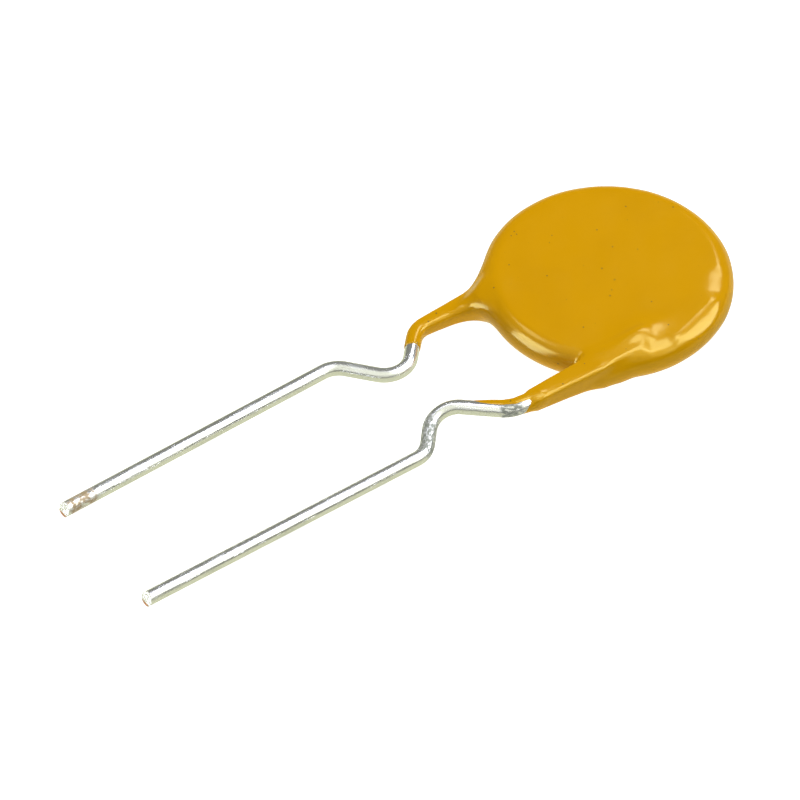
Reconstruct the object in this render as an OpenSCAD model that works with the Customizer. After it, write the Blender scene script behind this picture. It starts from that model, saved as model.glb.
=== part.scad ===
// Radial-leaded polymer resettable fuse, lying as it comes to rest.
// The coated disc is at the +X end, the two leads run towards -X, and Z is up from the bench.

/* [Coated disc] */
// Diameter over the coating
disc_d = 8.6; // [8:0.1:10]
// Thickness over the coating, away from the leads
disc_t = 1.25; // [1:0.05:1.6]

/* [Chip] */
// Diameter of the polymer chip and of its foils
chip_d = 7.6; // [7:0.1:7.8]
// Thickness of the conductive polymer
chip_t = 0.26; // [0.2:0.02:0.4]
// Thickness of each electrode foil
foil_t = 0.035; // [0.02:0.005:0.06]

/* [Wire] */
// Diameter of the tinned wire
wire_d = 0.51; // [0.4:0.01:0.6]
// Bend radius on the centre line of the wire
bend_r = 0.9; // [0.6:0.05:1]
// Depth of the flat pressed on each soldered end
press = 0.045; // [0.02:0.005:0.08]
// Distance from the middle of the disc to the buried ends of the wires
buried_end = 0.8; // [0.4:0.1:1.2]

/* [Leads] */
// Distance between the straight ends of the two leads
pitch = 5.1; // [4.4:0.1:5.8]
// How far the straight ends stand off the centre line of the disc, towards the lower lead
pitch_shift = 0.08; // [-0.3:0.01:0.3]
// Length of each kink from the first bend to its apex
kink_in = 1.6; // [1.4:0.01:2]
// Length of each kink from its apex to the straight end
kink_out = 1.48; // [1.3:0.01:2]

/* [Upper lead] */
// Distance of the soldered end from the centre line of the disc
upper_root = 3.2; // [2.6:0.05:3.3]
// Distance of the first bend from the middle of the disc
upper_bend = 6.35; // [6:0.01:7.5]
// Distance of the kink's apex from the centre line of the disc
upper_apex = 1.21; // [0.8:0.01:1.6]
// Length of the straight end
upper_tail = 11.67; // [4:0.01:25]
// Distance from the middle of the disc to the end of the coating
upper_coat = 5.45; // [4.9:0.05:5.8]

/* [Lower lead] */
// Distance of the soldered end from the centre line of the disc
lower_root = 2.33; // [2:0.01:2.6]
// Distance of the first bend from the middle of the disc
lower_bend = 6.52; // [6:0.01:7.5]
// Distance of the kink's apex from the centre line of the disc
lower_apex = 0.73; // [0.5:0.01:1.2]
// Length of the straight end
lower_tail = 11.34; // [4:0.01:25]
// Length of the coated sleeve from the rim of the disc, measured along the wire
lower_coat = 3.5; // [2.5:0.05:3.8]

/* [Coating] */
// Resin over the top of a buried wire, which comes level with the face
crest_cover = 0.035; // [0.02:0.005:0.1]
// Resin round the upper wire where its sleeve leaves the rim
upper_rim_cover = 0.19; // [0.17:0.005:0.25]
// Resin round the upper wire at the end of its sleeve
upper_end_cover = 0.07; // [0.04:0.005:0.12]
// Resin round the lower wire where its sleeve leaves the rim
lower_rim_cover = 0.195; // [0.17:0.005:0.25]
// Resin round the lower wire at the end of its sleeve
lower_end_cover = 0.035; // [0.03:0.005:0.12]
// How far the upper sleeve sags off its wire at the rim, towards the middle of the chip
upper_sag = 0.16; // [0:0.01:0.16]
// How far the lower sleeve sags off its wire at the rim, towards the bench and the centre line of the disc
lower_sag = 0.12; // [0:0.005:0.13]
// Width of the blend between a face and a buried wire
ridge_blend = 0.15; // [0.1:0.01:0.4]
// Width of the webs where they meet the upper face
face_web = 0.35; // [0.2:0.05:0.6]
// Width of the web between the rim and the upper sleeve
upper_web = 0.9; // [0.6:0.05:1.2]
// Width of the web between the rim and the inner side of the lower sleeve
lower_web = 1.4; // [0.8:0.05:1.6]
// Width of the web between the rim and the outer side of the lower sleeve
lower_outer_web = 0.7; // [0.4:0.05:1.2]

/* [Solder] */
// Width of each solder fillet on its foil
solder_w = 1; // [0.8:0.05:1.2]
// Height of each solder fillet over its foil
solder_h = 0.3; // [0.2:0.01:0.4]
// Length of wire that each solder fillet holds
solder_l = 1.6; // [1:0.1:2]

/* [Hidden] */
$fn = 64;
UPPER = 1;
LOWER = -1;

disc_r = disc_d / 2;
chip_r = chip_d / 2;
wire_r = wire_d / 2;
// Heights from the middle of the chip: the outer side of a foil and the axis of a soldered wire
foil_z = chip_t / 2 + foil_t;
wire_z = foil_z + wire_r - press;
// Crown of the solder fillet, as a share of its width
solder_crown = 0.5;
// Corners of each sleeve's section at the rim and at its end: 2 is round, more is squarer
upper_corner = [5, 5];
lower_corner = [4, 2.2];
// How soon each sleeve thins: 1 is an even taper, more is early
upper_taper = 1;
lower_taper = 2;
// Swelling of the wire at a bend, and how far the straight runs reach into it
bend_swell = 0.003;
bend_lap = 0.03;

// Where each wire crosses the thick part of the rim, from the middle of the disc
upper_rim = sqrt(disc_r ^ 2 - upper_root ^ 2);
lower_rim = sqrt(disc_r ^ 2 - lower_root ^ 2);

// Level that the resin over the wires is drawn down to, the edge that this leaves, and the length of rim
// that the webs reach along
crest_z = max(disc_t / 2, wire_z + wire_r) + crest_cover;
crest_edge = 0.04;
web_reach = 1.4 * disc_t;
sleeve_r = wire_r + max(upper_rim_cover, lower_rim_cover);

// Grid that the coating's skin is traced on: wide cells over the disc, fine cells round the sleeves,
// and a margin of more than a cell all round, so that the skin stays clear of the outermost cells
wide_cell = 0.36;
fine_cell = 0.17;
grid_margin = 1.1 * wide_cell;
arc_steps = 6;

function unit(v) = v / norm(v);
function clamp01(t) = min(max(t, 0), 1);
function ease(t) = t * t * (3 - 2 * t);
function lerp(a, b, t) = a + (b - a) * t;

// Turning angle at corner i of a line of points, and the length that its bend takes off each side
function turn(pts, i) = acos(unit(pts[i] - pts[i - 1]) * unit(pts[i + 1] - pts[i]));
function setback(pts, i) = i == 0 || i == len(pts) - 1 ? 0 : bend_r * tan(turn(pts, i) / 2);
// Start, axes and centre of the bend at corner i
function bend_along(pts, i) = unit(pts[i] - pts[i - 1]);
function bend_inward(pts, i) =
    let (u = bend_along(pts, i), v = unit(pts[i + 1] - pts[i])) unit(v - (u * v) * u);
function bend_centre(pts, i) =
    pts[i] - setback(pts, i) * bend_along(pts, i) + bend_r * bend_inward(pts, i);

// Centre line of a bent wire as points, with each bend as a short row of chords
function centre_line(pts) = [
    for (i = [0 : len(pts) - 1])
        if (i == 0 || i == len(pts) - 1) pts[i]
        else for (s = [0 : arc_steps])
            let (f = turn(pts, i) * s / arc_steps)
                bend_centre(pts, i) + bend_r * (sin(f) * bend_along(pts, i) - cos(f) * bend_inward(pts, i))
];

// The first part of a line of points, up to a length
function cut_line(pts, l) =
    let (d = norm(pts[1] - pts[0]))
        len(pts) == 2 || d >= l
            ? [pts[0], lerp(pts[0], pts[1], min(l / d, 1))]
            : concat([pts[0]], cut_line([for (i = [1 : len(pts) - 1]) pts[i]], l - d));
function length_to(pts, n) = n == 0 ? 0 : length_to(pts, n - 1) + norm(pts[n] - pts[n - 1]);

// A chain of [centre, radius, corner] beads: the resin over the buried wire, then the sleeve with its taper
function sleeve_chain(side, root, line, cover, corner, taper, sag) =
    let (full = length_to(line, len(line) - 1)) concat(
        [[[-buried_end, -side * root, side * wire_z], wire_r + crest_cover, corner[0]]],
        [for (i = [0 : len(line) - 1])
            let (left = 1 - length_to(line, i) / full) [
                line[i] + side * sag * left ^ ((1 + taper) / 2),
                wire_r + lerp(cover[1], cover[0], left ^ taper),
                lerp(corner[1], corner[0], left)
            ]]
    );
// The links of a chain: start, length, three axes, and the radius and corner at each end
function links(chain) = [
    for (i = [1 : len(chain) - 1])
        let (a = chain[i - 1], b = chain[i], d = b[0] - a[0], u = unit(d), v = unit(cross([0, 0, 1], u)))
            [a[0], norm(d), u, v, cross(u, v), [a[1], b[1]], [a[2], b[2]]]
];
upper_chain = sleeve_chain(UPPER, upper_root, [
    [-upper_rim, -upper_root, wire_z],
    [-upper_coat, -upper_root, wire_z]
], [upper_rim_cover, upper_end_cover], upper_corner, upper_taper, [0, 0, -upper_sag]);
lower_chain = sleeve_chain(LOWER, lower_root, cut_line(centre_line([
    [-lower_rim, lower_root, -wire_z],
    [-lower_bend, lower_root, -wire_z],
    [-lower_bend - kink_in, lower_apex, -wire_z]
]), lower_coat), [lower_rim_cover, lower_end_cover], lower_corner, lower_taper, [0, lower_sag, lower_sag]);
upper_links = links(upper_chain);
lower_links = links(lower_chain);

// Distance fields, negative inside: the round-edged disc and the links of a chain
function disc_field(p) =
    let (out = norm([p.x, p.y]) - disc_r + disc_t / 2)
        (out > 0 ? norm([out, p.z]) : abs(p.z)) - disc_t / 2;
function link_field(p, link) =
    let (
        t = clamp01((p - link[0]) * link[2] / link[1]),
        off = p - link[0] - t * link[1] * link[2],
        corner = lerp(link[6][0], link[6][1], t),
        across = (abs(off * link[3]) ^ corner + abs(off * link[4]) ^ corner) ^ (1 / corner)
    ) norm([across, off * link[2]]) - lerp(link[5][0], link[5][1], t);
function chain_field(p, links) = min([for (link = links) link_field(p, link)]);

// Resin fills the corner between two surfaces as surface tension would
function fill(a, b, width) = min(a, b) - max(width - abs(a - b), 0) ^ 2 / width / 4;
// The upper web is narrow at the face; the lower one is wider on its inner side than on its outer
function upper_web_at(p) = lerp(face_web, upper_web, ease(clamp01(1 - 2 * p.z / disc_t)));
function lower_web_at(p) =
    let (
        low = (1 + ease(clamp01(2 - 4 * p.z / disc_t))) / 2,
        inner = ease(clamp01((lower_root - p.y) / wire_d + 0.5))
    ) lerp(face_web, lerp(lower_outer_web, lower_web, inner), low);
// The fill is narrow along a buried wire and widens into a web at the rim
function web_width(p, rim, web) =
    lerp(ridge_blend, web, ease(clamp01((-p.x - rim + web_reach) / disc_t)));
function full_field(p) =
    fill(
        fill(disc_field(p), chain_field(p, upper_links), web_width(p, upper_rim, upper_web_at(p))),
        chain_field(p, lower_links), web_width(p, lower_rim, lower_web_at(p))
    );
// The whole skin, drawn down level with the crests of the wires
function coat_field(p) = -fill(-full_field(p), crest_z - abs(p.z), crest_edge);

// Depth of the coating below the middle of the chip, under a point of the lower wire
function depth_at(x, y, low, high, rounds) =
    let (mid = (low + high) / 2)
        rounds == 0 ? mid
        : coat_field([x, y, -mid]) < 0 ? depth_at(x, y, mid, high, rounds - 1)
        : depth_at(x, y, low, mid, rounds - 1);
belly = max([
    for (link = lower_chain, step = [0 : 0.1 : 1])
        depth_at(lerp(-buried_end, link[0].x, step), link[0].y, wire_z, wire_z + 2 * sleeve_r, 20)
]);

// Corner points of the leads: the straight ends come down to lie on the bench
tail_z = wire_r - belly;
function tail_y(side) = pitch_shift - side * pitch / 2;
function lead_corners(side, root, bend, apex, apex_z, tail) = [
    [-buried_end, -side * root, side * wire_z],
    [-bend, -side * root, side * wire_z],
    [-bend - kink_in, -side * apex, apex_z],
    [-bend - kink_in - kink_out, tail_y(side), tail_z],
    [-bend - kink_in - kink_out - tail, tail_y(side), tail_z]
];
upper_corners = lead_corners(UPPER, upper_root, upper_bend, upper_apex, (wire_z + tail_z) / 2, upper_tail);
lower_corners = lead_corners(LOWER, lower_root, lower_bend, lower_apex, -wire_z, lower_tail);

// The frame's origin is on the bench, under the middle of the part's box
reach = max(-upper_corners[4].x, -lower_corners[4].x);
module on_bench() translate([(reach - disc_r) / 2, 0, belly]) children();

// Moves +X, +Y and +Z onto three axes at a place
module on_axes(x, y, z, at) multmatrix([
    [x.x, y.x, z.x, at.x],
    [x.y, y.y, z.y, at.y],
    [x.z, y.z, z.z, at.z]
]) children();

// A straight run of round wire
module rod(a, b) {
    z = unit(b - a);
    x = unit(cross([0, 0, 1], z));
    on_axes(x, cross(z, x), z, a) cylinder(h = norm(b - a), r = wire_r);
}

// The bend of round wire at corner i, a hair fatter than the straight runs that end in it
module bend(pts, i) {
    u = bend_along(pts, i);
    n = bend_inward(pts, i);
    on_axes(-n, u, cross(u, n), bend_centre(pts, i))
        rotate_extrude(angle = turn(pts, i)) translate([bend_r, 0]) circle(r = wire_r + bend_swell);
}

// Round wire through corner points, with every inner corner bent to the same radius
module bent_wire(pts) {
    last = len(pts) - 1;
    for (i = [1 : last]) {
        u = bend_along(pts, i);
        from = pts[i - 1] + u * (setback(pts, i - 1) - (i == 1 ? 0 : bend_lap));
        to = pts[i] - u * (setback(pts, i) - (i == last ? 0 : bend_lap));
        rod(from, to);
    }
    for (i = [1 : last - 1]) bend(pts, i);
}

// A lead with the flat that is pressed on it where it lies on its foil
module lead(side, pts) {
    difference() {
        bent_wire(pts);
        translate([-chip_r, pts[0].y, side * (foil_z - wire_r)])
            translate([0, -wire_d, -wire_r])
                cube([chip_r, 2 * wire_d, wire_d]);
    }
}

// A loaf of solder round the buried end of a lead, kept on the foil
module solder(side, pts) {
    half = solder_w / 2;
    crown = half * solder_crown;
    difference() {
        intersection() {
            translate([pts[0].x, pts[0].y, 0]) mirror([0, 0, side == LOWER ? 1 : 0]) translate([0, 0, foil_z]) {
                cylinder(h = solder_h, r1 = half, r2 = crown);
                rotate([0, -90, 0]) linear_extrude(solder_l)
                    polygon([[0, -half], [0, half], [solder_h, crown], [solder_h, -crown]]);
            }
            cylinder(h = disc_t, r = chip_r, center = true);
        }
        lead(side, pts);
    }
}

// Everything that the coating cures round
module core() {
    cylinder(h = 2 * foil_z, r = chip_r, center = true);
    solder(UPPER, upper_corners);
    solder(LOWER, lower_corners);
    lead(UPPER, upper_corners);
    lead(LOWER, lower_corners);
}

// Even steps from one place towards another, without the last
function steps(a, b, cell) =
    let (n = ceil(abs(b - a) / cell)) [for (i = [0 : n - 1]) lerp(a, b, i / n)];

// Outer skin of the coating: one point in every grid cell that the surface crosses, drawn onto the
// surface, and two triangles round every grid edge that it cuts
module coat_skin() {
    side_y = disc_r + grid_margin;
    half_z = crest_z + grid_margin;
    end_x = min([for (link = concat(upper_chain, lower_chain)) link[0].x]) - sleeve_r - grid_margin;
    split_x = -upper_rim - sleeve_r;
    band = 2 * sleeve_r;
    xs = concat(steps(end_x, split_x, fine_cell), steps(split_x, side_y, wide_cell), [side_y]);
    ys = concat(
        steps(-side_y, -upper_root - band, wide_cell),
        steps(-upper_root - band, -upper_root + band, fine_cell),
        steps(-upper_root + band, lower_root - band, wide_cell),
        steps(lower_root - band, lower_root + band, fine_cell),
        steps(lower_root + band, side_y, wide_cell), [side_y]
    );
    zs = concat(steps(-half_z, half_z, fine_cell), [half_z]);
    nx = len(xs) - 1;
    ny = len(ys) - 1;
    nz = len(zs) - 1;
    f = [for (x = xs) [for (y = ys) [for (z = zs) coat_field([x, y, z])]]];

    // Cells that the surface crosses, in a row, and how many come before each
    corners = [for (i = [0, 1], j = [0, 1], k = [0, 1]) [i, j, k]];
    edges = [for (a = [0 : 7], b = [a + 1 : 1 : 7]) if (norm(corners[b] - corners[a]) == 1) [a, b]];
    function values(i, j, k) = [for (c = corners) f[i + c.x][j + c.y][k + c.z]];
    crossed = [for (i = [0 : nx - 1], j = [0 : ny - 1], k = [0 : nz - 1])
        let (v = values(i, j, k)) min(v) < 0 && max(v) >= 0];
    rank = [for (c = 0, n = 0; c < len(crossed); n = n + (crossed[c] ? 1 : 0), c = c + 1) n];
    function id(i, j, k) = rank[(i * ny + j) * nz + k];

    // Mean of the places where the surface cuts the cell's edges, then drawn onto the surface
    function place(c) = [xs[c.x], ys[c.y], zs[c.z]];
    function mean(list) = list * [for (v = list) 1] / len(list);
    function cuts(cell, v) = [for (e = edges) let (a = v[e[0]], b = v[e[1]])
        if ((a < 0) != (b < 0)) lerp(place(cell + corners[e[0]]), place(cell + corners[e[1]]), a / (a - b))];
    function middle(pts) = [for (axis = [0 : 2]) mean([for (p = pts) p[axis]])];
    h = fine_cell / 50;
    function slope(p) = [for (d = [[h, 0, 0], [0, h, 0], [0, 0, h]])
        (coat_field(p + d) - coat_field(p - d)) / (2 * h)];
    function drawn(p) = let (g = slope(p)) p - coat_field(p) / (g * g) * g;
    points = [for (i = [0 : nx - 1], j = [0 : ny - 1], k = [0 : nz - 1])
        if (crossed[(i * ny + j) * nz + k]) drawn(drawn(middle(cuts([i, j, k], values(i, j, k)))))];

    // Four cells meet round each cut edge; the shorter diagonal splits the face
    function split(q) = norm(points[q[0]] - points[q[2]]) < norm(points[q[1]] - points[q[3]])
        ? [[q[0], q[1], q[2]], [q[0], q[2], q[3]]]
        : [[q[1], q[2], q[3]], [q[1], q[3], q[0]]];
    function facing(q, outward) = split(outward ? q : [q[3], q[2], q[1], q[0]]);
    pairs = [for (i = [1 : nx - 1], j = [1 : ny - 1], k = [1 : nz - 1]) let (a = f[i][j][k]) each [
        if ((a < 0) != (f[i + 1][j][k] < 0))
            facing([id(i, j - 1, k - 1), id(i, j - 1, k), id(i, j, k), id(i, j, k - 1)], a < 0),
        if ((a < 0) != (f[i][j + 1][k] < 0))
            facing([id(i - 1, j, k - 1), id(i, j, k - 1), id(i, j, k), id(i - 1, j, k)], a < 0),
        if ((a < 0) != (f[i][j][k + 1] < 0))
            facing([id(i - 1, j - 1, k), id(i - 1, j, k), id(i, j, k), id(i, j - 1, k)], a < 0)
    ]];
    polyhedron(points, [for (pair = pairs) each pair]);
}

module epoxy_coating() color("goldenrod") on_bench() difference() {
    coat_skin();
    core();
}

module polymer_chip() color("dimgray") on_bench() cylinder(h = chip_t, r = chip_r, center = true);

module foil(side) color("lightgray") on_bench()
    translate([0, 0, side * (chip_t + foil_t) / 2]) cylinder(h = foil_t, r = chip_r, center = true);
module upper_foil() foil(UPPER);
module lower_foil() foil(LOWER);

module upper_lead() color("silver") on_bench() lead(UPPER, upper_corners);
module lower_lead() color("silver") on_bench() lead(LOWER, lower_corners);

module upper_solder() color("darkgray") on_bench() solder(UPPER, upper_corners);
module lower_solder() color("darkgray") on_bench() solder(LOWER, lower_corners);

epoxy_coating();
polymer_chip();
upper_foil();
lower_foil();
upper_lead();
lower_lead();
upper_solder();
lower_solder();
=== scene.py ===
"""Looks of a radial-leaded resettable fuse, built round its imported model.

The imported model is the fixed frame. The dipped coat and the two wire leads are modelled here in
millimetres from the middle of the disc, then set down in the frame in metres. The chip, its foils
and its solder keep the frame's own meshes and get finishes of their own.
"""

from __future__ import annotations

import logging
import math
from dataclasses import dataclass, field
from enum import Enum
from typing import Any, Iterable, Sequence

import bpy
import numpy as np
from mathutils import Matrix, Quaternion, Vector

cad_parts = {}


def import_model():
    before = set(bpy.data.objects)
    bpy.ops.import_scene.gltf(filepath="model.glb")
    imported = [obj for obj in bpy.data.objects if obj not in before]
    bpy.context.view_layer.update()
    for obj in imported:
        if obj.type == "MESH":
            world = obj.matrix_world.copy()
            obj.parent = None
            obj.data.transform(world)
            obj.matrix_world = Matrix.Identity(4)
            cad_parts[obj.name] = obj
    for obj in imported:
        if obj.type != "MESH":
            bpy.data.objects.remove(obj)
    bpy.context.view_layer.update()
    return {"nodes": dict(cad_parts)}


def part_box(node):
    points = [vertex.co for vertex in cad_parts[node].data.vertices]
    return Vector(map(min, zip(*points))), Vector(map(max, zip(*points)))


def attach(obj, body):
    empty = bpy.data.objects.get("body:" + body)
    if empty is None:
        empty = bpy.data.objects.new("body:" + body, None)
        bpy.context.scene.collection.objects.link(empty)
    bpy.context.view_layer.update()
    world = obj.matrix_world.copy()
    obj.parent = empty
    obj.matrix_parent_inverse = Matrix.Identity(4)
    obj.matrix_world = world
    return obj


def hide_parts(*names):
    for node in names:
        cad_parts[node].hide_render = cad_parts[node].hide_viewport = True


LOG = logging.getLogger("resettable_fuse")
METRES_PER_MM = 0.001
MM_PER_METRE = 1000.0
Colour = tuple[float, float, float]
Number = float | int
Piece = bpy.types.Object
Socket = bpy.types.NodeSocket


class Face(Enum):
    """The face of the chip that a lead is soldered to."""

    UPPER = 1
    LOWER = -1


class LightUse(Enum):
    """What a lamp is for: the highlights that it leaves, or the light that it spreads."""

    HIGHLIGHT = "highlight"
    FILL = "fill"


class Signal:
    """A value in a shader that adds Math nodes when it stands in an expression."""

    def __init__(self, tree: bpy.types.NodeTree, socket: Socket) -> None:
        """Keeps the tree that new nodes go in and the socket that gives the value."""
        self.tree = tree
        self.socket = socket

    def _math(self, operation: str, first: Signal | Number, second: Signal | Number) -> Signal:
        """Adds one Math node.

        Args:
            operation: The node's operation.
            first: The left operand.
            second: The right operand.

        Returns:
            The node's result.
        """
        node = self.tree.nodes.new("ShaderNodeMath")
        node.operation = operation
        for socket, value in zip(node.inputs, (first, second)):
            if isinstance(value, Signal):
                self.tree.links.new(value.socket, socket)
            else:
                socket.default_value = float(value)
        return Signal(self.tree, node.outputs[0])

    def __add__(self, other: Signal | Number) -> Signal:
        """self + other."""
        return self._math("ADD", self, other)

    __radd__ = __add__

    def __sub__(self, other: Signal | Number) -> Signal:
        """self - other."""
        return self._math("SUBTRACT", self, other)

    def __rsub__(self, other: Number) -> Signal:
        """other - self."""
        return self._math("SUBTRACT", other, self)

    def __mul__(self, other: Signal | Number) -> Signal:
        """self * other."""
        return self._math("MULTIPLY", self, other)

    __rmul__ = __mul__

    def __lt__(self, other: Signal | Number) -> Signal:
        """1 where self is less than other."""
        return self._math("LESS_THAN", self, other)

    def smooth(self, low: float, high: float) -> Signal:
        """Eases from 0 at low to 1 at high.

        Args:
            low: Where the result is 0.
            high: Where the result is 1.

        Returns:
            The eased value.
        """
        node = self.tree.nodes.new("ShaderNodeMapRange")
        node.interpolation_type = "SMOOTHSTEP"
        self.tree.links.new(self.socket, node.inputs["Value"])
        node.inputs["From Min"].default_value = low
        node.inputs["From Max"].default_value = high
        return Signal(self.tree, node.outputs["Result"])


class FinishBench:
    """A material with one Principled shader, and the nodes that feed it."""

    def __init__(self, name: str) -> None:
        """Starts an empty node tree under the finish's name."""
        self.material = bpy.data.materials.new(name)
        self.material.use_nodes = True
        self.tree = self.material.node_tree
        self.tree.nodes.clear()
        output = self.node("ShaderNodeOutputMaterial")
        self.shader = self.node("ShaderNodeBsdfPrincipled")
        self.tree.links.new(self.shader.outputs["BSDF"], output.inputs["Surface"])

    def node(
        self, kind: str, settings: dict[str, Any] | None = None, inputs: dict[str | int, Any] | None = None
    ) -> bpy.types.Node:
        """Adds a node, sets it, then fills its sockets.

        Args:
            kind: The node's type.
            settings: Its properties.
            inputs: Values, signals or sockets for its inputs, by name or number.

        Returns:
            The new node.
        """
        node = self.tree.nodes.new(kind)
        for key, value in (settings or {}).items():
            setattr(node, key, value)
        for key, value in (inputs or {}).items():
            self.feed(node.inputs[key], value)
        return node

    def feed(self, socket: Socket, value: Any) -> None:
        """Links a signal or socket to an input, or sets the input's own value."""
        if isinstance(value, Signal):
            self.tree.links.new(value.socket, socket)
        elif isinstance(value, Socket):
            self.tree.links.new(value, socket)
        elif isinstance(value, tuple) and len(value) == 3 and socket.type == "RGBA":
            socket.default_value = (*value, 1.0)
        else:
            socket.default_value = value

    def place_mm(self) -> Socket:
        """The place on the piece in millimetres of the frame."""
        coordinates = self.node("ShaderNodeTexCoord")
        return self.stretch(coordinates.outputs["Object"], (MM_PER_METRE,) * 3)

    def stretch(self, vector: Socket, factors: Sequence[float]) -> Socket:
        """A vector with each of its axes multiplied."""
        node = self.node("ShaderNodeVectorMath", {"operation": "MULTIPLY"}, {0: vector, 1: tuple(factors)})
        return node.outputs["Vector"]

    def axis(self, vector: Socket, name: str) -> Signal:
        """One axis of a vector."""
        return Signal(self.tree, self.node("ShaderNodeSeparateXYZ", inputs={0: vector}).outputs[name])

    def noise(self, vector: Socket, scale: float, detail: float) -> Signal:
        """Soft noise from 0 to 1.

        Args:
            vector: The coordinates.
            scale: Lumps to a unit of the coordinates.
            detail: Octaves of finer noise.

        Returns:
            The noise.
        """
        node = self.node("ShaderNodeTexNoise", inputs={"Vector": vector, "Scale": scale, "Detail": detail})
        return Signal(self.tree, node.outputs[0])

    def streaks(self, vector: Socket, scales: Sequence[float], detail: float) -> Signal:
        """Soft noise with a scale of its own on each axis."""
        return self.noise(self.stretch(vector, scales), 1.0, detail)

    def specks(self, vector: Socket, scale: float, radius: float, share: float) -> Signal:
        """Small round specks in some cells of a scattered grid.

        Args:
            vector: The coordinates.
            scale: Cells to a unit of the coordinates.
            radius: Radius of a speck, as a share of a cell.
            share: Share of the cells that hold a speck.

        Returns:
            1 in a speck and 0 elsewhere.
        """
        cells = self.node("ShaderNodeTexVoronoi", inputs={"Vector": vector, "Scale": scale})
        near = 1 - Signal(self.tree, cells.outputs["Distance"]).smooth(0.5 * radius, radius)
        draw = self.node("ShaderNodeSeparateColor", inputs={0: cells.outputs["Color"]}).outputs[0]
        return near * (Signal(self.tree, draw) < share)

    def blend(self, factor: Signal | float, first: Any, second: Any) -> Socket:
        """Mixes two colours.

        Args:
            factor: 0 for the first colour, 1 for the second.
            first: A colour or the socket of one.
            second: A colour or the socket of one.

        Returns:
            The mixed colour.
        """
        node = self.node("ShaderNodeMix", {"data_type": "RGBA"})
        self.feed(node.inputs[0], factor)
        self.feed(node.inputs[6], first)
        self.feed(node.inputs[7], second)
        return node.outputs[2]

    def bump(self, height: Signal, depth_mm: float) -> Socket:
        """A normal from a height.

        Args:
            height: Height from 0 to 1.
            depth_mm: Depth of a whole unit of height.

        Returns:
            The normal.
        """
        inputs = {"Height": height, "Distance": depth_mm * METRES_PER_MM, "Strength": 1.0}
        return self.node("ShaderNodeBump", inputs=inputs).outputs["Normal"]

    def dress(self, **sockets: Any) -> bpy.types.Material:
        """Feeds the Principled shader.

        Args:
            **sockets: Input names with underscores for spaces, and their values or links.

        Returns:
            The finished material.
        """
        for name, value in sockets.items():
            self.feed(self.shader.inputs[name.replace("_", " ")], value)
        return self.material


@dataclass(frozen=True)
class ResinFinish:
    """Glossy dipped epoxy, heavily pigmented, with pin specks and a faint orange peel."""

    body: Colour = (0.62, 0.305, 0.0)
    deep: Colour = (0.60, 0.293, 0.0)
    speck: Colour = (0.10, 0.05, 0.008)
    roughness: float = 0.17
    peel_depth: float = 0.0035

    def material(self) -> bpy.types.Material:
        """Makes the material."""
        bench = FinishBench("dipped_epoxy")
        place = bench.place_mm()
        clouds = bench.noise(place, scale=0.55, detail=3.0).smooth(0.35, 0.7)
        grains = bench.specks(place, scale=2.2, radius=0.085, share=0.85)
        fines = bench.specks(place, scale=4.3, radius=0.07, share=0.22)
        colour = bench.blend(clouds, self.body, self.deep)
        colour = bench.blend(0.9 * grains, colour, self.speck)
        colour = bench.blend(0.35 * fines, colour, self.speck)
        peel = bench.noise(place, scale=3.2, detail=1.0)
        dull = bench.noise(place, scale=1.3, detail=3.0)
        return bench.dress(
            Base_Color=colour,
            Roughness=self.roughness - 0.03 + 0.06 * dull + 0.2 * grains,
            Normal=bench.bump(peel - 0.6 * grains - 0.3 * fines, self.peel_depth),
            IOR=1.5,
            Specular_IOR_Level=0.5,
            Specular_Tint=(1.0, 1.0, 0.35),
        )


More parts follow.
